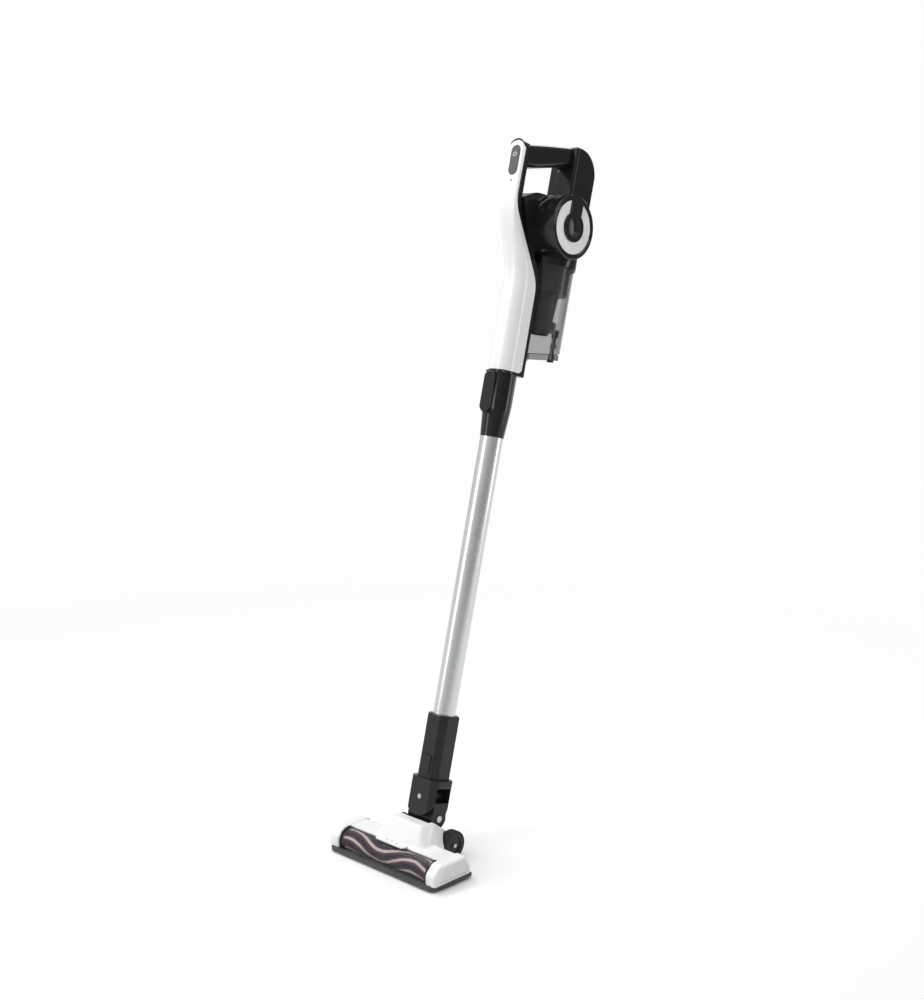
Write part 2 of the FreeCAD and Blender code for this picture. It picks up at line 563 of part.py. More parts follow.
def floorHead():
    spread = "2 * (head_half - 18)"
    pitch = value("pitch_height")
    lean = math.radians(value("lean_angle"))
    pivot = (pitch * math.sin(lean), pitch * math.cos(lean))
    shell = prism("YZ", headSide(0), spread)
    inside = prism("YZ", headSide(value("wall")), spread)
    open_top = box(("2 * window_half + 0.6", 46, 60), ("-window_half - 0.3", -100, 9))
    ramp = prism("YZ", [(-44, 33), (-14, 59.5, 3), (22, 38, 8), (41, 33, 6), (41, 9), (-44, 9)], 69)
    flanks = prism("XZ", mirrored([(62, 9), (62, 33, 10), (31, 60, 6)]), 160)
    hump = common(ramp, flanks)
    hollow = prism("YZ", [(-40, 30), (-14, 54, 3), (22, 34), (37, 30), (37, 8), (-40, 8)], 60)
    sweep = cylinder(26, 61, (-30.5, pivot[0], pivot[1]), "X")
    above = box((61, 70, 60), (-30.5, pivot[0] - 26, pivot[1]))
    behind = box((61, 60, 40), (-30.5, pivot[0] + 8, pivot[1] - 22))
    solid = cut(fuse(shell, hump), inside, hollow)
    window = common(open_top, prism("YZ", [(-100, 9), (-56, 9), (-56, 60), (-100, 60)], 400))
    dots = [cylinder(1.3, 20, (x, -52, 30)) for x in (-9, 0, 9)]
    axle = cylinder("axle_radius + 0.3", 120, (-60, "wheel_back", "wheel_radius"), "X")
    trimmed = cut(solid, window, sweep, above, behind, axle, *dots)
    keep(trimmed, "head_cover")
    lenses = [cylinder(1.2, 3, (x, -52, 35)) for x in (-9, 0, 9)]
    keep(fuse(*lenses), "headlight_lenses")

    # end caps, one per side, each with its lighter panel
    panels = []
    for side, name in ((-1, "left"), (1, "right")):
        middle = side * (value("head_half") - 8.9)
        block = prism("YZ", headSide(0), 17.8, (middle, 0, 0))
        cap = softened(block, 4, lambda edge, face=side * value("head_half"):
                       abs(edge.BoundBox.Center.x - face) < 0.6 and edge.BoundBox.XLength < 0.5
                       and edge.BoundBox.Center.z > 12)
        # the cap's inner side is open to the belt and the bearings
        pit = prism("YZ", headSide(value("wall")), 15, (side * (value("head_half") - 11), 0, 0))
        panel = prism("YZ", [(-75, 12, 2), (-64, 33, 8), (-20, 33, 4), (-12, 12, 2)], 2,
                      (side * (value("head_half") - 0.3), 0, 0))
        keep(cut(cap, pit, panel), "end_cap_" + name)
        plate = prism("YZ", [(-74.6, 12.4, 2), (-63.8, 32.6, 7.6), (-20.2, 32.6, 3.6), (-12.6, 12.4, 2)],
                      0.9, (side * (value("head_half") - 0.75), 0, 0))
        panels.append(plate)
    keep(fuse(*panels), "cap_panels")

    # sole plate with the brush slot, wheel bay and pockets for the small rollers
    plan = mirrored([(115.6, -6), (115.6, -60, 6), (112, -87, 9)])
    plate = prism("XY", [(-34, -6), (-34, 41), (34, 41), (34, -6)] + plan[0:1] + plan[1:],
                  "sole_high - sole_low", (0, 0, "(sole_high + sole_low) / 2"))
    slot = box(("2 * window_half", 39, 30), ("-window_half", -81, -5))
    pockets = [box((11, 15, 30), (x - 5.5, -28.5, -5)) for x in (-88, 88)]
    pins = [cylinder(1.5, 16, (x - 8, -21, "caster_radius"), "X") for x in (-88, 88)]
    felt = box((66, 24, 4), (-33, -17, 0))
    keep(cut(plate, slot, felt, *pockets, *pins), "sole_plate")
    keep(box((64, 22, 3.9), (-32, -16, 0)), "sole_felt")

    # clear window over the roller and its black frame
    outer = cylinder("window_radius", "2 * window_half - 6", ("-window_half + 3", "-roller_front",
                                                              "roller_height"), "X")
    inner = cylinder("window_radius - 1.8", 300, (-150, "-roller_front", "roller_height"), "X")
    ahead = [(-90, 9.4), (-62, 9.4), (-57.5, 60), (-90, 60)]
    keep(common(cut(outer, inner), prism("YZ", ahead, 300)), "window")
    hoops = [cylinder("window_radius", 2.8, (x, "-roller_front", "roller_height"), "X")
             for x in ("-window_half", "window_half - 2.8")]
    inner = cylinder("window_radius - 3", 300, (-150, "-roller_front", "roller_height"), "X")
    keep(common(cut(fuse(*hoops), inner), prism("YZ", ahead, 300)), "window_frame")

    # brush roller on its bearings
    axis = ("-roller_front", "roller_height")
    core = cylinder("core_radius", 186, (-92, *axis), "X")
    spindle = cylinder(3, 212.5, (-109, *axis), "X")
    pulley = cylinder(6.5, 7, (-102.5, *axis), "X")
    keep(fuse(core, spindle, pulley), "brush_core")
    keep(sleeve("bristle_radius", "core_radius + 0.02", 182, (-90, *axis), "X"), "brush_bristles")
    rings = [sleeve(7, "3 + shaft_gap", 5, (x, *axis), "X") for x in (-109, 98)]
    keep(fuse(*rings), "roller_bearings")

    # brush motor, belt and pulley at the left end
    can = cylinder(11, 52, (-80, -26, 21), "X")
    bore = cylinder("2 + shaft_gap", 60, (-84, -26, 21), "X")
    keep(cut(can, bore), "brush_motor")
    keep(fuse(cylinder(2, 60, (-102, -26, 21), "X"), cylinder(4.5, 7, (-102.5, -26, 21), "X")),
         "motor_pulley")
    loop = [(-62, 18, 6.8), (-26, 21, 4.8)]
    keep(belt(loop, 1.3, 5, -101.5), "drive_belt")

    # air duct and the stub that carries the neck
    duct = cut(box((29, 44, 21), (-14.5, -40, 9.2)), box((20, 60, 14), (-10, -45, 13)))
    post = box((29, 18, 50), (-14.5, 3, 9.2))
    stub = cylinder(15.8, 36, (-18, pivot[0], pivot[1]), "X")
    bore = cylinder("hose_radius", 90, (0, pivot[0], 20))
    bores = [cylinder("pin_radius + shaft_gap", 9, (start, pivot[0], pivot[1]), "X")
             for start in (-18.5, 9.5)]
    throat = box((20, 30, 14), (-10, -1, 13))
    axle = cylinder("axle_radius + 0.01", 60, (-30, "wheel_back", "wheel_radius"), "X")
    keep(fuse(cut(fuse(post, stub), bore, *bores, throat, axle), duct), "neck_stub")


def belt(loop, thickness, width, start):
    """A flat belt round two pulleys, as the hull of two discs less a smaller hull."""
    (y1, z1, r1), (y2, z2, r2) = loop
    gap = math.hypot(y2 - y1, z2 - z1)
    heading = math.atan2(z2 - z1, y2 - y1)
    tilt = math.acos((r1 - r2) / gap)

    def hull(extra, length, low):
        big = cylinder(r1 + extra, length, (low, y1, z1), "X")
        small = cylinder(r2 + extra, length, (low, y2, z2), "X")
        ends = [(y1, z1, r1 + extra, tilt), (y2, z2, r2 + extra, tilt),
                (y2, z2, r2 + extra, -tilt), (y1, z1, r1 + extra, -tilt)]
        corners = [(y + reach * math.cos(heading + turn), z + reach * math.sin(heading + turn))
                   for y, z, reach, turn in ends]
        return fuse(big, small, prism("YZ", corners, length, (low + length / 2, 0, 0)))

    return cut(hull(thickness, width, start), hull(0, width + 4, start - 2))


def wheels():
    axles = [cylinder("axle_radius", 108, (-54, "wheel_back", "wheel_radius"), "X")]
    axles += [cylinder(1.5, 16, (x - 8, -21, "caster_radius"), "X") for x in (-88, 88)]
    keep(fuse(*axles), "axles")
    for side, name in ((-1, "left"), (1, "right")):
        start = 38 if side > 0 else -53
        hub = cylinder("wheel_radius - 4", 15, (start, "wheel_back", "wheel_radius"), "X")
        dish = cylinder("wheel_radius - 9", 3, (51 if side > 0 else -54, "wheel_back", "wheel_radius"), "X")
        bore = cylinder("axle_radius + shaft_gap", 20, (start - 2, "wheel_back", "wheel_radius"), "X")
        keep(cut(hub, dish, bore), "wheel_hub_" + name)
        keep(sleeve("wheel_radius", "wheel_radius - 3.99", 15, (start, "wheel_back", "wheel_radius"), "X"),
             "wheel_tyre_" + name)
    rolls = [sleeve("caster_radius", "1.5 + shaft_gap", 8, (x - 4, -21, "caster_radius"), "X")
             for x in (-88, 88)]
    keep(fuse(*rolls), "sole_rollers")


for build in (wand, neck, spine, handle, motorDrum, dustBin, floorHead, wheels):
    build()
doc.recompute()

broken = [item.Label for item in doc.Objects if {"Invalid", "Error"} & set(item.State)]
if broken:
    raise RuntimeError("failed objects: " + ", ".join(broken))
os.makedirs("parts", exist_ok=True)
for item in subparts:
    if item.Shape.isNull() or not item.Shape.isValid():
        raise RuntimeError("bad shape: " + item.Label)
    item.Shape.exportStep(os.path.join("parts", item.Label + ".step"))
print(len(subparts), "sub-parts written")
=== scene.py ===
import json
import math

import bmesh
import bpy
from mathutils import Matrix, Vector, noise


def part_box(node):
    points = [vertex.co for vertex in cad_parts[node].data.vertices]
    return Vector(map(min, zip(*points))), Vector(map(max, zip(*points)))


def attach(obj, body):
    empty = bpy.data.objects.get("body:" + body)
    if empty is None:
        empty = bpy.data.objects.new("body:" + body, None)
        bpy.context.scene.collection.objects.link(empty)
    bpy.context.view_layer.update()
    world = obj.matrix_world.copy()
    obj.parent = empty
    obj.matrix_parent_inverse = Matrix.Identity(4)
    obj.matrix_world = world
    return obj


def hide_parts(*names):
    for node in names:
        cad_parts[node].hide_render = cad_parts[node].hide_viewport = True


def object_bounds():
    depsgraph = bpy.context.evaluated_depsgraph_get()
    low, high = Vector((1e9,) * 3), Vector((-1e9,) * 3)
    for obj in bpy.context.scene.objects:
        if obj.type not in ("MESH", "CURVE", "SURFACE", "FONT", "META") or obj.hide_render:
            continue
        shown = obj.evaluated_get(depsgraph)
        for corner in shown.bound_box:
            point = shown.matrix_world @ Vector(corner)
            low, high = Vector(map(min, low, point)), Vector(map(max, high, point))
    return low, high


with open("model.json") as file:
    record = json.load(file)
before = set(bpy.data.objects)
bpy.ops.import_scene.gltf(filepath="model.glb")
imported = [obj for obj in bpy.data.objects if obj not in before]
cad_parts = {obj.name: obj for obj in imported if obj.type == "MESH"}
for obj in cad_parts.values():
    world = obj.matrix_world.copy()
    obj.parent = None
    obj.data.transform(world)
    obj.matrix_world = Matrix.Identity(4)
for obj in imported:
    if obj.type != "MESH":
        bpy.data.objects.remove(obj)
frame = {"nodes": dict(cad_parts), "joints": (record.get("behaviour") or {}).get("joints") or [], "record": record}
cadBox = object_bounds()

mm = 0.001
nodes = frame["nodes"]
joints = {joint["name"]: joint for joint in frame["joints"]}
record = frame["record"]
bodyOf = {node: body for body, members in record["behaviour"]["bodies"].items() for node in members}

# the stick's own axes: across, towards its back, and up along the wand
backward = Vector(joints["power_press"]["axis"]).normalized()
upward = -Vector(joints["wand_pull"]["axis"]).normalized()
stick = Matrix((Vector((1, 0, 0)), backward, upward)).transposed()
level = Matrix.Identity(3)


# Shader maths

class Wire:  # a socket that can be added to, multiplied and so on
    def __init__(self, paint, socket):
        self.paint = paint
        self.socket = socket

    def math(self, operation, *values):
        return self.paint.node("Math", {"operation": operation}, dict(enumerate(values)))

    def __add__(self, other):
        return self.math("ADD", self, other)

    def __radd__(self, other):
        return self.math("ADD", other, self)

    def __sub__(self, other):
        return self.math("SUBTRACT", self, other)

    def __rsub__(self, other):
        return self.math("SUBTRACT", other, self)

    def __mul__(self, other):
        return self.math("MULTIPLY", self, other)

    def __rmul__(self, other):
        return self.math("MULTIPLY", other, self)

    def __truediv__(self, other):
        return self.math("DIVIDE", self, other)

    def __pow__(self, other):
        return self.math("POWER", self, other)

    def sine(self):
        return self.math("SINE", self)

    def fraction(self):
        return self.math("FRACT", self)

    def angleTo(self, other):
        return self.math("ARCTAN2", self, other)

    def clamped(self, low=0.0, high=1.0):
        return self.paint.node("Clamp", {}, {0: self, 1: low, 2: high})


class Paint:  # a material, or a world, and the nodes in it
    def __init__(self, name, kind="materials"):
        self.material = getattr(bpy.data, kind).new(name)
        self.material.use_nodes = True
        self.tree = self.material.node_tree
        self.tree.nodes.clear()
        self.place = self.node("TexCoord", {}, {}, 3)  # the piece's own coordinates, in metres

    def node(self, kind, settings, sockets, output=0):
        made = self.tree.nodes.new("ShaderNode" + kind)
        for name, value in settings.items():
            if name == "stops":
                self.fillRamp(made.color_ramp, value)
            else:
                setattr(made, name, value)
        for key, value in sockets.items():
            if isinstance(value, Wire):
                self.tree.links.new(value.socket, made.inputs[key])
            else:
                made.inputs[key].default_value = value
        return Wire(self, made.outputs[output] if made.outputs else None)

    def fillRamp(self, ramp, stops):
        while len(ramp.elements) < len(stops):
            ramp.elements.new(1.0)
        for element, (position, colour) in zip(ramp.elements, stops):
            element.position = position
            element.color = (*colour, 1)

    def noise(self, scale, detail=2.0, stretch=(1, 1, 1)):
        spread = self.node("Mapping", {}, {"Vector": self.place, "Scale": stretch})
        return self.node("TexNoise", {}, {"Vector": spread, "Scale": scale, "Detail": detail})

    def blend(self, factor, first, second):
        first, second = [c if isinstance(c, Wire) else (*c, 1) for c in (first, second)]
        return self.node("Mix", {"data_type": "RGBA"}, {0: factor, 6: first, 7: second}, 2)

    def ramp(self, factor, stops):
        return self.node("ValToRGB", {"stops": stops}, {0: factor})

    def along(self, direction):  # distance along a direction, in metres
        return self.node("VectorMath", {"operation": "DOT_PRODUCT"}, {0: self.place, 1: direction}, 1)

    def offsetFrom(self, centre):
        return self.node("VectorMath", {"operation": "SUBTRACT"}, {0: self.place, 1: centre})

    def bump(self, height, depth):
        return self.node("Bump", {}, {"Height": height, "Distance": depth * mm, "Strength": 1.0})

    def surface(self, sockets):
        shader = self.node("BsdfPrincipled", {}, sockets)
        self.node("OutputMaterial", {}, {"Surface": shader})
        return self.material


def mouldedPlastic(name, look):
    paint = Paint(name)
    cloud = paint.noise(look["cloud"], 3.0)
    grain = paint.noise(look["grain"], 2.0)
    handled = (paint.noise(look["marks"], 5.0) - 0.45).clamped()
    return paint.surface({
        "Base Color": paint.blend(cloud, look["dark"], look["light"]),
        "Roughness": look["rough"] + handled * look["haze"] + (grain - 0.5) * look["sparkle"],
        "Normal": paint.bump(grain, look["depth"]),
        "Specular IOR Level": look["shine"],
        "Coat Weight": look["coat"],
        "Coat Roughness": look["coatRough"],
    })


finishes = {
    "whiteShell": {"dark": (0.72, 0.725, 0.725), "light": (0.78, 0.785, 0.785), "cloud": 9, "grain": 1500,
                   "marks": 22, "rough": 0.2, "haze": 0.18, "sparkle": 0.04, "depth": 0.01,
                   "coat": 0.35, "coatRough": 0.07, "shine": 0.45},
    "sidePanel": {"dark": (0.62, 0.63, 0.64), "light": (0.69, 0.70, 0.71), "cloud": 14, "grain": 1800,
                  "marks": 30, "rough": 0.3, "haze": 0.15, "sparkle": 0.08, "depth": 0.02,
                  "coat": 0.1, "coatRough": 0.2, "shine": 0.4},
    "blackShell": {"dark": (0.006, 0.007, 0.0075), "light": (0.012, 0.0135, 0.014), "cloud": 18, "grain": 1300,
                   "marks": 35, "rough": 0.1, "haze": 0.22, "sparkle": 0.05, "depth": 0.008,
                   "coat": 0.0, "coatRough": 0.06, "shine": 0.34},
    "blackSatin": {"dark": (0.012, 0.0135, 0.0135), "light": (0.022, 0.024, 0.024), "cloud": 30, "grain": 2200,
                   "marks": 40, "rough": 0.3, "haze": 0.22, "sparkle": 0.16, "depth": 0.035,
                   "coat": 0.0, "coatRough": 0.3, "shine": 0.26},
    "soleGrey": {"dark": (0.045, 0.048, 0.048), "light": (0.07, 0.074, 0.074), "cloud": 40, "grain": 1600,
                 "marks": 45, "rough": 0.42, "haze": 0.2, "sparkle": 0.2, "depth": 0.05,
                 "coat": 0.0, "coatRough": 0.3, "shine": 0.25},
    "rubber": {"dark": (0.018, 0.018, 0.019), "light": (0.032, 0.032, 0.033), "cloud": 60, "grain": 1900,
               "marks": 60, "rough": 0.62, "haze": 0.25, "sparkle": 0.2, "depth": 0.06,
               "coat": 0.0, "coatRough": 0.3, "shine": 0.2},
    "innerDark": {"dark": (0.018, 0.019, 0.02), "light": (0.035, 0.036, 0.037), "cloud": 30, "grain": 1500,
                  "marks": 45, "rough": 0.4, "haze": 0.2, "sparkle": 0.15, "depth": 0.03,
                  "coat": 0.0, "coatRough": 0.3, "shine": 0.25},
}
paints = {name: mouldedPlastic(name, look) for name, look in finishes.items()}


def speckledButton():
    paint = Paint("speckledButton")
    flecks = paint.ramp(paint.noise(2600, 1.0), [(0.5, (0.06, 0.06, 0.062)), (0.66, (0.2, 0.2, 0.2))])
    cloud = paint.noise(60, 3.0)
    grain = paint.noise(1900, 2.0)
    return paint.surface({
        "Base Color": paint.blend(cloud * 0.5, flecks, (0.05, 0.051, 0.053)),
        "Roughness": 0.48 + (grain - 0.5) * 0.2,
        "Specular IOR Level": 0.25,
        "Normal": paint.bump(grain, 0.05),
    })


def brushedMetal(name, tone, direction, rough):
    # fine lines run along the direction
    paint = Paint(name)
    stretch = [0.02 if abs(part) > 0.5 else 1.0 for part in direction]
    lines = paint.noise(3200, 2.0, stretch)
    cloud = paint.noise(14, 4.0)
    light = [min(part * 1.12, 1.0) for part in tone]
    return paint.surface({
        "Base Color": paint.blend(cloud * 0.6 + lines * 0.4, tone, light),
        "Metallic": 0.96 - cloud * 0.04,
        "Roughness": rough + (lines - 0.5) * 0.16 + (cloud - 0.5) * 0.1,
        "Normal": paint.bump(lines, 0.012),
    })


def turnedSilver(centre):
    # concentric grooves round the drum's axis
    paint = Paint("turnedSilver")
    offset = paint.offsetFrom(centre)
    flat = paint.node("VectorMath", {"operation": "MULTIPLY"}, {0: offset, 1: (0, 1, 1)})
    radius = paint.node("VectorMath", {"operation": "LENGTH"}, {0: flat}, 1)
    grooves = (radius * 9000).sine() * 0.5 + 0.5
    cloud = paint.noise(40, 4.0)
    pits = paint.noise(2400, 1.0)
    return paint.surface({
        "Base Color": paint.blend(cloud, (0.56, 0.56, 0.56), (0.7, 0.7, 0.695)),
        "Metallic": 0.55 + pits * 0.1,
        "Roughness": 0.3 + grooves * 0.08 + cloud * 0.08,
        "Normal": paint.bump(grooves * 0.7 + pits * 0.3, 0.02),
    })


def smokedClear(name, tint, see, rough):
    # clearer face on, darker where it is seen edge on
    paint = Paint(name)
    rim = paint.node("LayerWeight", {}, {"Blend": 0.35}, 1)
    cloud = paint.noise(30, 3.0)
    fine = (paint.noise(260, 3.0, (1, 1, 0.1)) - 0.56).clamped() * 2.0
    return paint.surface({
        "Base Color": paint.blend(cloud, tint, [part * 1.5 for part in tint]),
        "Roughness": rough + fine * 0.3,
        "Alpha": (see + rim * rim * 0.6 + fine * 0.06).clamped(0.0, 0.95),
        "Normal": paint.bump(cloud, 0.02),
        "Specular IOR Level": 0.5,
    })


def piercedShroud(centre):
    # rows of fine holes round the cyclone's shroud; the holes are painted near-black, painted shade of the dark
    # inside seen through them
    paint = Paint("piercedShroud")
    offset = paint.offsetFrom(centre)
    sides = [paint.node("VectorMath", {"operation": "DOT_PRODUCT"}, {0: offset, 1: direction}, 1)
             for direction in ((1, 0, 0), backward, upward)]
    turn = sides[0].angleTo(sides[1])
    holesAndShade = ((turn * 40.0).sine() * (sides[2] * 1150.0).sine() * 2.2 - 0.5).clamped()
    cloud = paint.noise(40, 3.0)
    return paint.surface({
        # painted shade: the holes' colour is near-black
        "Base Color": paint.blend(holesAndShade * 0.7, paint.blend(cloud, (0.05, 0.051, 0.052), (0.075, 0.076, 0.077)),
                                  (0.008, 0.008, 0.008)),
        "Roughness": 0.33 + cloud * 0.14,
        "Normal": paint.bump(1.0 - holesAndShade, 0.4),
    })


pileColours = {
    "lanes": 6.0, "lean": 2.0, "waves": 46.0, "waveStart": 1.9, "wave": 0.55, "wobble": 0.12,
    "stops": [
        (0.0, (0.010, 0.011, 0.05)), (0.26, (0.012, 0.013, 0.06)), (0.34, (0.15, 0.03, 0.035)),
        (0.5, (0.17, 0.05, 0.055)), (0.57, (0.95, 0.86, 0.87)), (0.75, (0.95, 0.88, 0.9)),
        (0.82, (0.14, 0.03, 0.04)), (0.93, (0.11, 0.025, 0.035)), (0.98, (0.012, 0.012, 0.045)),
    ],
}


def brushPile(centre):
    # wavy stripes of coloured pile laid round the roller
    look = pileColours
    paint = Paint("brushPile")
    offset = paint.offsetFrom(centre)
    parts = [paint.node("SeparateXYZ", {}, {0: offset}, number) for number in range(3)]
    turn = parts[1].angleTo(parts[2]) / (2 * math.pi)
    wave = (parts[0] * look["waves"] + look["waveStart"]).sine() * look["wave"]
    wobble = (paint.noise(60) - 0.5) * look["wobble"]
    lane = (turn * look["lanes"] + wave - parts[0] * look["lean"] + wobble + 9.0).fraction()
    stripes = paint.ramp(lane, look["stops"])
    fibres = paint.noise(2600)
    return paint.surface({
        "Base Color": paint.blend((fibres * 1.6 - 0.3).clamped(), (0.008, 0.006, 0.01), stripes),
        "Roughness": 0.75 + (fibres - 0.5) * 0.3,
        "Normal": paint.bump(fibres, 0.5),
        "Sheen Weight": 0.35,
        "Sheen Roughness": 0.4,
    })


def felt():
    paint = Paint("felt")
    hairs = paint.noise(2400, 4.0, (1.0, 0.35, 1.0))
    cloud = paint.noise(120, 3.0)
    return paint.surface({
        "Base Color": paint.blend(hairs * 0.7 + cloud * 0.3, (0.03, 0.03, 0.032), (0.12, 0.12, 0.125)),
        "Roughness": 0.85 + (hairs - 0.5) * 0.2,
        "Normal": paint.bump(hairs, 0.4),
        "Sheen Weight": 0.5,
    })


def pleatedPaper():
    paint = Paint("pleatedPaper")
    # each pleat's fold is painted darker: painted shade in the creases; the same sine also drives the bump
    pleatsAndShade = (paint.along((1, 0, 0)) * 2600).sine() * 0.5 + 0.5
    fibre = paint.noise(1200, 4.0)
    return paint.surface({
        "Base Color": paint.blend(pleatsAndShade * 0.7 + fibre * 0.3, (0.55, 0.55, 0.52), (0.82, 0.82, 0.79)),
        "Roughness": 0.8 + fibre * 0.1,
        "Normal": paint.bump(pleatsAndShade, 0.6),
    })


def cellWrap():
    paint = Paint("cellWrap")
    film = paint.noise(260, 3.0)
    band = (paint.along(tuple(upward)) * 180).sine() * 0.5 + 0.5
    return paint.surface({
        "Base Color": paint.blend((band * 4.0 - 3.2).clamped(), (0.03, 0.13, 0.33), (0.5, 0.52, 0.54)),
        "Roughness": 0.25 + film * 0.15,
        "Normal": paint.bump(film, 0.03),
    })


def circuitBoard():
    paint = Paint("circuitBoard")
    tracks = paint.node("TexVoronoi", {"feature": "DISTANCE_TO_EDGE"}, {"Vector": paint.place, "Scale": 320})
    copper = (1.0 - tracks * 9.0).clamped()
    return paint.surface({
        "Base Color": paint.blend(copper, (0.01, 0.09, 0.035), (0.03, 0.22, 0.08)),
        "Roughness": 0.35 + copper * 0.15,
        "Normal": paint.bump(copper, 0.05),
    })


def litLens(name, colour):
    paint = Paint(name)
    prisms = (paint.along((1, 0, 0)) * 9000).sine() * 0.5 + 0.5
    return paint.surface({
        "Base Color": paint.blend(prisms, colour, [part * 1.3 for part in colour]),
        "Roughness": 0.12 + prisms * 0.1,
        "Normal": paint.bump(prisms, 0.02),
        "Coat Weight": 1.0,
    })


def nodeCentre(name):
    low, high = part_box(name)
    return (Vector(low) + Vector(high)) / 2


paints["speckledButton"] = speckledButton()
paints["tubeMetal"] = brushedMetal("tubeMetal", (0.62, 0.63, 0.635), upward, 0.27)
paints["brightSteel"] = brushedMetal("brightSteel", (0.5, 0.5, 0.5), (1, 0, 0), 0.28)
paints["turnedSilver"] = turnedSilver(nodeCentre("trim_ring"))
paints["binClear"] = smokedClear("binClear", (0.03, 0.032, 0.033), 0.22, 0.06)
paints["lidClear"] = smokedClear("lidClear", (0.02, 0.021, 0.022), 0.5, 0.07)
paints["piercedShroud"] = piercedShroud(nodeCentre("cyclone_shroud"))
paints["windowClear"] = smokedClear("windowClear", (0.02, 0.02, 0.024), 0.0, 0.04)
paints["brushPile"] = brushPile(nodeCentre("brush_core"))
paints["felt"] = felt()
paints["pleatedPaper"] = pleatedPaper()
paints["cellWrap"] = cellWrap()
paints["circuitBoard"] = circuitBoard()
paints["lampLens"] = litLens("lampLens", (0.03, 0.035, 0.05))
paints["indicator"] = litLens("indicator", (0.10, 0.10, 0.11))

finishOf = {
    "whiteShell": ["spine_cover", "head_cover", "end_cap_left", "end_cap_right"],
    "sidePanel": ["cap_panels"],
    "blackShell": ["spine_shell", "grip_bar", "battery_leg", "motor_housing", "drum_cap_right", "drum_cap_left",
                   "hub_cap", "wand_connector", "wand_release_button", "window_frame", "bin_release_button"],
    "blackSatin": ["lower_coupling", "head_release_button", "swivel_collar", "elbow_fork", "neck_stub",
                   "lid_latch", "inlet_pipe", "charge_socket", "wheel_hub_left", "wheel_hub_right"],
    "soleGrey": ["sole_plate"],
    "rubber": ["wheel_tyre_left", "wheel_tyre_right", "sole_rollers", "bin_seals", "drive_belt", "flex_hose"],
    "innerDark": ["brush_core", "motor_fan"],
    "speckledButton": ["power_button"],
    "tubeMetal": ["wand_tube"],
    "turnedSilver": ["trim_ring"],
    "binClear": ["bin_shell"],
    "lidClear": ["bin_lid"],
    "piercedShroud": ["cyclone_shroud"],
    "windowClear": ["window"],
    "brushPile": ["brush_bristles"],
    "felt": ["sole_felt"],
    "pleatedPaper": ["filter_cartridge", "exhaust_filter"],
    "cellWrap": ["battery_cells"],
    "circuitBoard": ["control_board"],
    "lampLens": ["headlight_lenses"],
    "indicator": ["indicator_lens"],
    "brightSteel": ["button_spring", "contact_pins", "bin_pins", "neck_pins", "axles", "housing_screws",
                    "roller_bearings", "motor_pulley", "motor_can", "brush_motor"],
}
paintOf = {node: paints[finish] for finish, members in finishOf.items() for node in members}
print("materials:", len(paints))


# Making pieces

def levelBox(node):
    # a node's lowest and highest corners, in millimetres
    return [Vector(corner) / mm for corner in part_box(node)]


def stickBox(node):
    # the same corners along the stick's own axes
    back = stick.transposed()
    points = [back @ vertex.co / mm for vertex in nodes[node].data.vertices]
    low = Vector([min(point[n] for point in points) for n in range(3)])
    high = Vector([max(point[n] for point in points) for n in range(3)])
    return low, high


def place(piece, node, replaced=(), paint=None):
    # puts a finished piece on the body of the node that it stands for
    piece.data.materials.clear()
    piece.data.materials.append(paint or paintOf[node])
    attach(piece, bodyOf[node])
    if replaced:
        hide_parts(*replaced)
    return piece


def shadeSmooth(mesh, limit=35):
    mesh.shade_smooth()
    mesh.set_sharp_from_angle(angle=math.radians(limit))


def pieceFrom(name, shape, limit=35):
    mesh = bpy.data.meshes.new(name)
    shape.to_mesh(mesh)
    shape.free()
    shadeSmooth(mesh, limit)
    piece = bpy.data.objects.new(name, mesh)
    bpy.context.scene.collection.objects.link(piece)
    return piece


def softenEdges(piece, width, limit=35, segments=3):
    bevel = piece.modifiers.new("softEdges", "BEVEL")
    bevel.width = width * mm
    bevel.segments = segments
    bevel.limit_method = "ANGLE"
    bevel.angle_limit = math.radians(limit)
    bevel.harden_normals = True
    bevel.miter_outer = "MITER_ARC"
    return piece


def outlineOf(points, detail=7):
    # a closed outline in millimetres; a third number rounds that corner
    outline = []
    for index, point in enumerate(points):
        here = Vector(point[:2])
        if len(point) == 2:
            outline.append(here)
            continue
        before = (Vector(points[index - 1][:2]) - here).normalized()
        after = (Vector(points[(index + 1) % len(points)][:2]) - here).normalized()
        half = before.angle(after) / 2
        centre = here + (before + after).normalized() * (point[2] / math.sin(half))
        first = here + before * (point[2] / math.tan(half)) - centre
        last = here + after * (point[2] / math.tan(half)) - centre
        for step in range(detail + 1):
            outline.append(centre + first.slerp(last, step / detail) * point[2])
    return outline


def loftPiece(name, rings, frameOf=level, closed=False, limit=35):
    # rings of points in millimetres, joined one after another
    shape = bmesh.new()
    grid = [[shape.verts.new(frameOf @ Vector(point) * mm) for point in ring] for ring in rings]
    pairs = list(zip(grid, grid[1:]))
    if closed:
        pairs.append((grid[-1], grid[0]))
    for first, second in pairs:
        count = len(first)
        for n in range(count):
            shape.faces.new((first[n], first[(n + 1) % count], second[(n + 1) % count], second[n]))
    if not closed:
        shape.faces.new(list(reversed(grid[0])))
        shape.faces.new(grid[-1])
    bmesh.ops.remove_doubles(shape, verts=shape.verts, dist=0.001 * mm)
    bmesh.ops.recalc_face_normals(shape, faces=shape.faces)
    return pieceFrom(name, shape, limit)


def prismPiece(name, outline, low, high):
    # an outline of (Y, Z) drawn out along X
    return loftPiece(name, [[(depth, *point) for point in outline] for depth in (low, high)])


def turnedPiece(name, profile, centre, sides=96, frameOf=level, shrink=None, limit=35):
    # a closed profile of (radius, distance along X) turned about the line along X through centre
    rings = []
    for n in range(sides):
        angle = 2 * math.pi * n / sides
        ring = []
        for radius, along in profile:
            reach = shrink(n, radius, along) if shrink else radius
            ring.append((centre[0] + along, centre[1] + reach * math.cos(angle),
                         centre[2] + reach * math.sin(angle)))
        rings.append(ring)
    return loftPiece(name, rings, frameOf, True, limit)


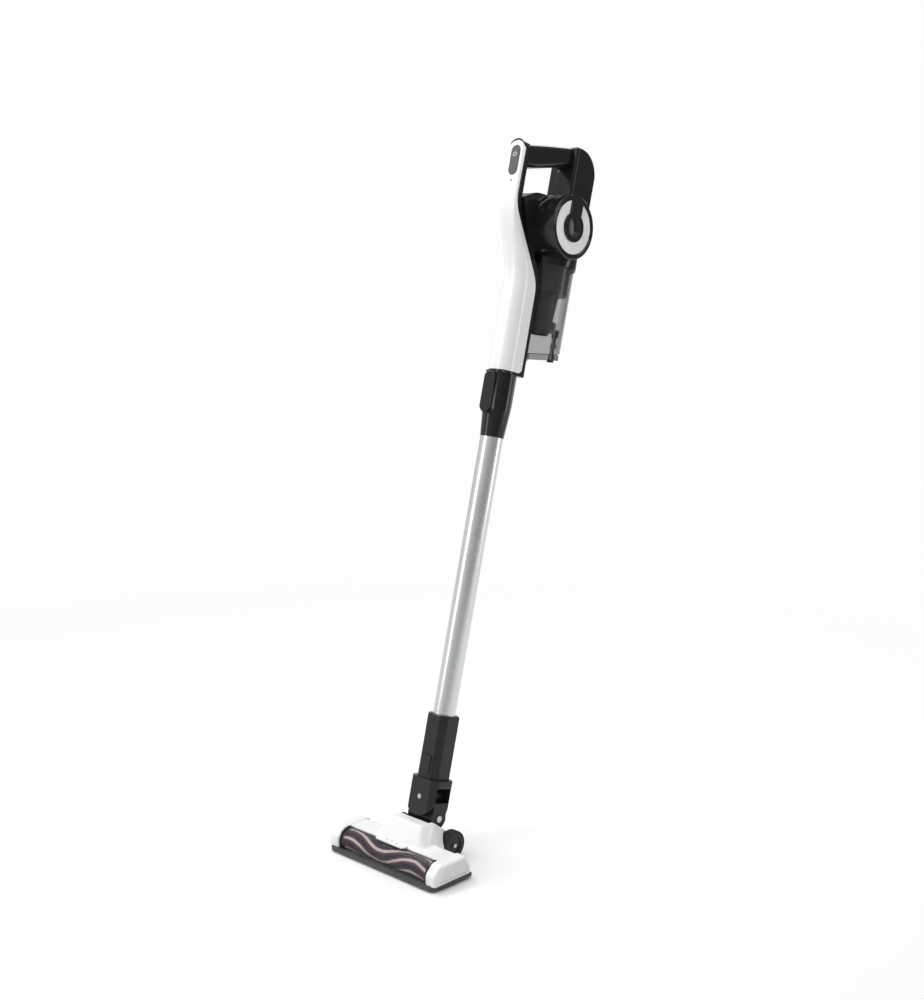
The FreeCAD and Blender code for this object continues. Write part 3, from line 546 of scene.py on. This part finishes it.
def settled(piece):
    # its modifiers become its mesh
    ready = piece.evaluated_get(bpy.context.evaluated_depsgraph_get())
    mesh = bpy.data.meshes.new_from_object(ready)
    piece.modifiers.clear()
    piece.data = mesh
    return piece


def carved(piece, tool, operation="DIFFERENCE"):
    cut = piece.modifiers.new("cut", "BOOLEAN")
    cut.operation = operation
    cut.solver = "MANIFOLD"
    cut.object = tool
    settled(piece)
    bpy.data.objects.remove(tool)
    return piece


def polished(node, width):
    # the node's own shape, welded, with flat faces made whole and its edges rounded over
    shape = bmesh.new()
    shape.from_mesh(nodes[node].data)
    bmesh.ops.remove_doubles(shape, verts=shape.verts, dist=0.002 * mm)
    bmesh.ops.dissolve_limit(shape, angle_limit=math.radians(0.4), verts=shape.verts, edges=shape.edges)
    piece = pieceFrom(node + "_finished", shape)
    softenEdges(piece, width)
    return place(piece, node, [node])


for node in nodes:
    nodes[node].data.materials.clear()
    nodes[node].data.materials.append(paintOf[node])
edgeWidths = {
    "spine_cover": 0.6, "spine_shell": 0.6, "grip_bar": 0.8, "battery_leg": 1.2, "motor_housing": 0.8,
    "drum_cap_right": 0.6, "drum_cap_left": 0.6, "hub_cap": 0.8, "wand_connector": 0.7,
    "wand_release_button": 0.9, "lower_coupling": 0.8, "head_release_button": 0.4, "swivel_collar": 0.8,
    "elbow_fork": 0.6, "end_cap_left": 0.8, "end_cap_right": 0.8, "cap_panels": 0.3, "sole_plate": 0.8,
    "bin_lid": 0.4, "lid_latch": 0.5, "power_button": 0.7, "bin_release_button": 0.6, "neck_pins": 0.3,
    "neck_stub": 0.5, "wheel_hub_left": 0.5, "wheel_hub_right": 0.5, "trim_ring": 0.25, "window_frame": 0.3,
    "bin_shell": 0.25, "cyclone_shroud": 0.4,
}
for node, width in edgeWidths.items():
    polished(node, width)
print("polished pieces:", len(edgeWidths))


# Floor head

onAxis = 0.01  # a turned profile stops this far from its axis

headShape = {
    "reach": 112, "voxel": 1.5, "smoothing": 16, "smoothFactor": 0.6, "wall": 2.3,
    # Y and Z of the side outline, how far each moves in with the wall, and the corner's radius
    "side": [(-82.6, 6, 0.5, 0.5), (-82.6, 24, 0.5, 1, 8), (-68.6, 37.6, 0.5, 1, 14), (-19, 37.6, 0, 1, 12),
             (-6.6, 22, 1, 0, 8), (-6.6, 6, 1, 0.5)],
    # corners of the fairing's right half, and how far each moves in with the wall
    "fairing": [((60, -50, 26), (1, 0, 0)), ((54, -38, 36.6), (1, 0, 1)), ((35.5, -23, 59.5), (1, 0, 2.2)),
                ((29.5, -28, 63.5), (1, -1, 2.2)), ((35.5, -4, 62.5), (1, 0, 2.2)), ((35.5, 14, 44), (1, 0, 1)),
                ((36.5, 39, 30), (1, 1, 1)), ((36.5, 39, 6), (1, 1, 0)), ((60, -14, 6), (1, 0, 0)),
                ((60, -14, 24), (1, 0, 0)), ((45.5, -52, 35.6), (1, -1, 1)), ((14, -54, 38.6), (0, -1, 1))],
    "beyond": 130, "bottom": 9.1, "endHalf": 97, "windowHalf": 95.4, "windowBack": -57.5,
    "tongueFrom": 96, "tongueTo": 103, "tongueSteps": 8, "tongueWide": 31, "tongueNarrow": 27,
    "tongueIn": 20.4, "tongueOut": 22.2, "tongueRoot": 1.5,
    "wheelRoom": 24.3, "wheelHalf": 12, "wheelAt": 48.8, "axleRoom": 3.4, "axleHalf": 60,
    "forkSweep": 26.2, "forkHalf": 30.4, "forkFrom": 180, "forkStep": 6, "forkSteps": 24,
    "forkBack": 60, "forkLow": -12, "forkHigh": 40,
    "edge": 0.5, "edgeLimit": 50, "sharpLimit": 40,
}


def headBody(inset):
    # a long rounded body with a fairing that climbs to the neck, melted into one skin
    part = headShape
    side = outlineOf([(y - inset * inY, z - inset * inZ, *radius) for y, z, inY, inZ, *radius in part["side"]])
    body = prismPiece("headBody", side, -part["reach"] + inset, part["reach"] - inset)
    hump = bmesh.new()
    for corner, pull in part["fairing"]:
        x, y, z = Vector(corner) - inset * Vector(pull)
        for turn in (-1, 1):
            hump.verts.new(Vector((x * turn, y, z)) * mm)
    bmesh.ops.convex_hull(hump, input=hump.verts)
    carved(body, pieceFrom("fairing", hump), "UNION")
    melt = body.modifiers.new("melt", "REMESH")
    melt.mode = "VOXEL"
    melt.voxel_size = part["voxel"] * mm
    smooth = body.modifiers.new("smooth", "SMOOTH")
    smooth.factor = part["smoothFactor"]
    smooth.iterations = part["smoothing"]
    return settled(body)


def makeTongue():
    # the lip in the middle that reaches over the window and carries the lamps
    part = headShape
    _, y, z = nodeCentre("brush_core") / mm
    rings = []
    for step in range(part["tongueSteps"] + 1):
        share = step / part["tongueSteps"]
        angle = math.radians(part["tongueFrom"] + (part["tongueTo"] - part["tongueFrom"]) * share)
        half = part["tongueWide"] + (part["tongueNarrow"] - part["tongueWide"]) * share
        spots = [(half * turn, reach) for reach, turn in
                 ((part["tongueIn"], -1), (part["tongueOut"], -1), (part["tongueOut"], 1), (part["tongueIn"], 1))]
        rings.append([(x, y + reach * math.cos(angle), z + reach * math.sin(angle)) for x, reach in spots])
    root = [(x, part["windowBack"] + part["tongueRoot"], z) for x, _, z in rings[0]]
    return loftPiece("tongue", [root] + rings)


def wheelRooms(outset):
    # the space that each wheel needs, grown by outset
    part = headShape
    _, y, z = nodeCentre("wheel_tyre_left") / mm
    reach, half = part["wheelRoom"] + outset, part["wheelHalf"] + outset
    outline = [(onAxis, -half), (reach, -half), (reach, half), (onAxis, half)]
    return [turnedPiece("wheelRoom", outline, (side * part["wheelAt"], y, z), 64) for side in (-1, 1)]


def axleRoom():
    part = headShape
    _, y, z = nodeCentre("wheel_tyre_left") / mm
    reach, half = part["axleRoom"], part["axleHalf"]
    outline = [(onAxis, -half), (reach, -half), (reach, half), (onAxis, half)]
    return turnedPiece("axleRoom", outline, (0, y, z), 32)


def forkRoom():
    # the space that the elbow's fork sweeps as it pitches
    part = headShape
    _, y, z = Vector(joints["neck_pitch"]["pos_m"]) / mm
    reach = part["forkSweep"]
    angles = [math.radians(part["forkFrom"] + part["forkStep"] * n) for n in range(part["forkSteps"] + 1)]
    sweep = [(y + reach * math.cos(angle), z + reach * math.sin(angle)) for angle in angles]
    top = z + part["forkHigh"]
    back = y + part["forkBack"]
    outline = sweep + [(back, z + part["forkLow"]), (back, top), (y - reach, top)]
    return prismPiece("forkRoom", outline, -part["forkHalf"], part["forkHalf"])


def slab(name, back, low, half):
    # everything in front of back, above low and within half of the middle
    far = headShape["beyond"]
    return prismPiece(name, [(-far, low), (back, low), (back, far), (-far, far)], -half, half)


def makeHeadCover():
    part = headShape
    far = part["beyond"]
    cover = headBody(0)
    cover.name = "headCover"
    for room in wheelRooms(0):
        carved(cover, room)
    inside = headBody(part["wall"])
    carved(inside, slab("walls", far, -far, part["windowHalf"]), "INTERSECT")
    for room in wheelRooms(part["wall"]):
        carved(inside, room)
    carved(cover, inside)
    carved(cover, slab("ends", far, part["bottom"], part["endHalf"]), "INTERSECT")
    carved(cover, slab("windowRoom", part["windowBack"], 0, part["windowHalf"]))
    carved(cover, makeTongue(), "UNION")
    carved(cover, forkRoom())
    carved(cover, axleRoom())
    shadeSmooth(cover.data, part["sharpLimit"])
    softenEdges(cover, part["edge"], part["edgeLimit"], 2)
    return place(cover, "head_cover", ["head_cover"])


makeHeadCover()


headLamps = {"gap": 10.5, "back": -59.5, "height": 39.2, "radius": 1.5}


def makeLamps():
    # three small lenses in the cover's front edge
    shape = bmesh.new()
    for number in (-1, 0, 1):
        spot = Vector((number * headLamps["gap"], headLamps["back"], headLamps["height"]))
        bmesh.ops.create_uvsphere(shape, u_segments=16, v_segments=10, radius=headLamps["radius"] * mm,
                                  matrix=Matrix.Translation(spot * mm))
    return place(pieceFrom("lampDots", shape), "headlight_lenses", ["headlight_lenses"])


makeLamps()


pileShape = {
    "depth": 5, "steps": 230, "around": 200, "below": 0.55,
    "tuft": 0.4, "tuftAlong": 1.1, "tuftAround": 16,
    "ridge": 0.15, "ridges": 4, "bend": 3.9, "bendAlong": 0.058, "bendStart": 0.6, "lean": 0.03,
}


def makePile():
    # the roller's pile, uneven like short brushed hair
    part = pileShape
    low, high = levelBox("brush_bristles")
    centre = (low + high) / 2
    outer = (high.z - low.z) / 2
    length = high.x - low.x
    rings = []
    for n in range(part["around"]):
        angle = 2 * math.pi * n / part["around"]
        across, up = math.cos(angle), math.sin(angle)
        ring = []
        for step in range(part["steps"] + 1):
            along = -length / 2 + length * step / part["steps"]
            spot = Vector((along * part["tuftAlong"], across * part["tuftAround"], up * part["tuftAround"]))
            bend = part["bend"] * math.sin(along * part["bendAlong"] + part["bendStart"])
            ridge = math.sin(part["ridges"] * angle + bend + along * part["lean"])
            reach = outer - part["below"] + part["tuft"] * noise.noise(spot) + part["ridge"] * ridge
            ring.append((centre.x + along, centre.y + reach * across, centre.z + reach * up))
        inner = outer - part["depth"]
        for along in (length / 2, -length / 2):
            ring.append((centre.x + along, centre.y + inner * across, centre.z + inner * up))
        rings.append(ring)
    pile = loftPiece("brushPile", rings, closed=True, limit=80)
    return place(pile, "brush_bristles", ["brush_bristles"])


makePile()


tyreShape = {
    "band": 3.9, "shoulder": 2.2, "sides": 192, "tread": 1.5,
    "grooveEvery": 8, "grooveWide": 2, "grooveDeep": 0.9,
}


def makeTyre(node):
    # a tyre with rounded shoulders and cross grooves
    part = tyreShape
    low, high = levelBox(node)
    outer = (high.z - low.z) / 2
    inner = outer - part["band"]
    half = (high.x - low.x) / 2
    profile = outlineOf([(inner, -half), (outer, -half, part["shoulder"]), (outer, half, part["shoulder"]),
                         (inner, half)], 5)

    def grooved(n, radius, along):
        cut = n % part["grooveEvery"] < part["grooveWide"] and radius > outer - part["tread"]
        return radius - part["grooveDeep"] if cut else radius

    tyre = turnedPiece(node + "_treaded", profile, (low + high) / 2, part["sides"], shrink=grooved, limit=30)
    return place(tyre, node, [node])


for wheel in ("wheel_tyre_left", "wheel_tyre_right"):
    makeTyre(wheel)


hoseShape = {"ribs": 8, "ribDepth": 0.35, "stepsPerRib": 6, "wall": 1, "sides": 48}


def makeHose():
    # ribbed hose through the neck
    part = hoseShape
    low, high = stickBox("flex_hose")
    outer = (high.x - low.x) / 2
    inner = outer - part["wall"]
    length = high.z - low.z
    steps = part["ribs"] * part["stepsPerRib"]
    profile = [(inner, 0.0)]
    for step in range(steps + 1):
        wave = math.cos(2 * math.pi * part["ribs"] * step / steps)
        profile.append((outer - part["ribDepth"] + part["ribDepth"] * wave, length * step / steps))
    profile.append((inner, length))
    spun = Matrix(((0, 1, 0), (0, 0, 1), (1, 0, 0)))  # turns the line along X up the stick
    hose = turnedPiece("ribbedHose", profile, (low.z, 0, 0), part["sides"], stick @ spun, limit=60)
    return place(hose, "flex_hose", ["flex_hose"])


makeHose()
print("floor head done")


# Motor drum

drumStrap = {
    "width": 25, "foot": 15, "height": 1.8, "sink": 1.0, "stations": 40, "across": 16, "overlap": 0.4,
    "crown": 8,  # how flat the strap's top is
    "route": [(0, 0), (-24, 2), (-36, 22), (-50, 76)],  # along the drum and round it
}


def makeStrap():
    # a raised strap that crosses the drum from the hub's arm down to the spine
    part = drumStrap
    low, high = stickBox("drum_cap_right")
    centre = (low + high) / 2
    radius = (high.z - low.z) / 2
    start = high.x - part["overlap"]
    points = [Vector((start + along, around)) for along, around in part["route"]]

    def mixed(weights):
        return sum((point * weight for point, weight in zip(points, weights)), Vector((0, 0)))

    rings = []
    for step in range(part["stations"] + 1):
        t = step / part["stations"]
        here = mixed(((1 - t) ** 3, 3 * t * (1 - t) ** 2, 3 * t * t * (1 - t), t ** 3))
        heading = mixed((-3 * (1 - t) ** 2, 3 * (1 - t) ** 2 - 6 * t * (1 - t),
                         6 * t * (1 - t) - 3 * t * t, 3 * t * t)).normalized()
        side = Vector((-heading.y, heading.x))
        half = (part["width"] + (part["foot"] - part["width"]) * t) / 2
        spots = []
        for n in range(part["across"] + 1):
            share = 2 * n / part["across"] - 1
            lift = part["height"] * (1 - abs(share) ** part["crown"])
            spots.append((here + side * half * share, radius + lift))
        spots += [(here + side * half * share, radius - part["sink"]) for share in (1, -1)]
        ring = []
        for flat, reach in spots:
            angle = flat.y / radius
            ring.append((min(flat.x, start), centre.y - reach * math.sin(angle),
                         centre.z + reach * math.cos(angle)))
        rings.append(ring)
    strap = loftPiece("drumStrap", rings, stick, limit=40)
    strap.data.materials.append(paints["blackShell"])
    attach(strap, "handheld")
    return strap


makeStrap()


hubDome = {
    "sink": 0.5,
    "profile": [(onAxis, 0), (15.2, 0), (15.2, 0.9), (14.4, 1.2), (12.6, 1.3), (12.2, 0.8), (11.7, 0.8),
                (11.3, 1.3), (9, 1.7), (6, 2.05), (3, 2.25), (onAxis, 2.3)],
}


def makeHubDome():
    # a shallow dished dome with a ring groove in the middle of the hub
    low, high = stickBox("drum_cap_right")
    _, top = stickBox("hub_cap")
    centre = (top.x - hubDome["sink"], (low.y + high.y) / 2, (low.z + high.z) / 2)
    dome = turnedPiece("hubDome", hubDome["profile"], centre, frameOf=stick, limit=30)
    return place(dome, "hub_cap")


powerMark = {
    "radius": 3.4, "line": 0.9, "below": 14, "sunk": 0.4, "proud": -0.12,
    "from": 40, "turn": 280, "steps": 32, "overrun": 1,
}


def makePowerMark():
    # a plain on-off sign: an open ring with a bar
    part = powerMark
    low, high = stickBox("power_button")
    top = high.z - part["below"]
    width = part["line"] / 2
    depths = (low.y + part["sunk"], low.y + part["proud"])
    rings = []
    for step in range(part["steps"] + 1):
        angle = math.radians(part["from"] + part["turn"] * step / part["steps"])
        ring = []
        for reach, depth in ((-width, 0), (width, 0), (width, 1), (-width, 1)):
            radius = part["radius"] + reach
            ring.append((radius * math.sin(angle), depths[depth], top + radius * math.cos(angle)))
        rings.append(ring)
    place(loftPiece("powerRing", rings, stick), "power_button", (), paints["sidePanel"])
    tip = top + part["radius"] + part["overrun"]
    bar = [[(x, depth, z) for x, z in ((-width, top), (width, top), (width, tip), (-width, tip))]
           for depth in depths]
    place(loftPiece("powerBar", bar, stick), "power_button", (), paints["sidePanel"])


makeHubDome()
makePowerMark()
print("drum done")


# Studio

studio = {
    "floorRadius": 9.0, "fadeStart": 0.45, "fadeEnd": 2.1, "paper": 0.985,
    "aimOffset": (-0.0243, -0.0269, -0.0075), "distance": 2.1355, "azimuth": 43.52, "elevation": 9.276,
    "lens": 49.2, "skyLow": 0.2, "skyHigh": 0.95, "skyFrom": (-0.55, -0.45, 0.7),
    "lamps": [
        # name, turn and height of its direction in degrees, distance, width, height, power, aim height
        ("leftStrip", -25, 22, 2.2, 0.5, 1.9, 11, 0.6),
        ("rightStrip", 128, 8, 2.3, 0.6, 1.7, 10, 0.8),
        ("rearStrip", 200, 30, 2.4, 0.7, 1.6, 12, 0.7),
        ("overhead", 10, 80, 2.3, 1.3, 1.3, 17, 0.3),
        ("drumGlow", -88, 44, 1.9, 1.5, 1.0, 24, 0.95),
    ],
}


def directionOf(turn, height):
    turn, height = math.radians(turn), math.radians(height)
    return Vector((math.sin(turn) * math.cos(height), -math.cos(turn) * math.cos(height), math.sin(height)))


def paleFloor():
    # paper that turns into plain light far from the object, so that no horizon shows
    paint = Paint("paleFloor")
    cloud = paint.noise(0.9, 3.0)
    paper = paint.node("BsdfPrincipled", {}, {
        "Base Color": paint.blend(cloud, (0.8, 0.8, 0.8), (0.83, 0.83, 0.83)),
        "Roughness": 0.7 + cloud * 0.1,
        "Specular IOR Level": 0.1,
    })
    light = paint.node("Emission", {}, {"Color": (studio["paper"],) * 3 + (1,), "Strength": 1.0})
    reach = paint.node("VectorMath", {"operation": "LENGTH"}, {0: paint.place}, 1)
    span = studio["fadeEnd"] - studio["fadeStart"]
    fade = ((reach - studio["fadeStart"]) / span).clamped()
    ease = fade * fade * (3.0 - 2.0 * fade)
    both = paint.node("MixShader", {}, {0: ease, 1: paper, 2: light})
    paint.node("OutputMaterial", {}, {"Surface": both})
    return paint.material


def studioSky():
    # plain paper to the camera; to the object, a room that is bright on one side
    sky = Paint("studioSky", "worlds")
    direction = sky.node("TexCoord", {}, {}, 0)
    toward = Vector(studio["skyFrom"]).normalized()
    facing = sky.node("VectorMath", {"operation": "DOT_PRODUCT"}, {0: direction, 1: toward}, 1)
    share = (facing * 0.5 + 0.5) ** 2.0
    glow = studio["skyLow"] + share * (studio["skyHigh"] - studio["skyLow"])
    seen = sky.node("LightPath", {}, {}, 0)
    strength = seen * studio["paper"] + (1.0 - seen) * glow
    back = sky.node("Background", {}, {"Color": (1, 1, 1, 1), "Strength": strength})
    sky.node("OutputWorld", {}, {"Surface": back})
    bpy.context.scene.world = sky.material


def makeStudio():
    shape = bmesh.new()
    bmesh.ops.create_circle(shape, cap_ends=True, segments=128, radius=studio["floorRadius"])
    floor = pieceFrom("floor", shape)
    floor.data.materials.append(paleFloor())
    studioSky()
    for name, turn, height, distance, width, tall, power, aim in studio["lamps"]:
        data = bpy.data.lights.new(name, "AREA")
        data.shape = "RECTANGLE"
        data.size = width
        data.size_y = tall
        data.energy = power
        lamp = bpy.data.objects.new(name, data)
        away = directionOf(turn, height)
        lamp.location = Vector((0, 0.1, aim)) + away * distance
        lamp.rotation_euler = away.to_track_quat("Z", "Y").to_euler()
        bpy.context.scene.collection.objects.link(lamp)

    middle = (cadBox[0] + cadBox[1]) / 2
    away = directionOf(studio["azimuth"], studio["elevation"])
    camera = bpy.data.objects.new("camera", bpy.data.cameras.new("camera"))
    camera.data.lens = studio["lens"]
    camera.location = middle + Vector(studio["aimOffset"]) + away * studio["distance"]
    camera.rotation_euler = away.to_track_quat("Z", "Y").to_euler()
    bpy.context.scene.collection.objects.link(camera)
    bpy.context.scene.camera = camera
    bpy.context.scene.view_settings.view_transform = "Standard"


makeStudio()
print("studio ready")
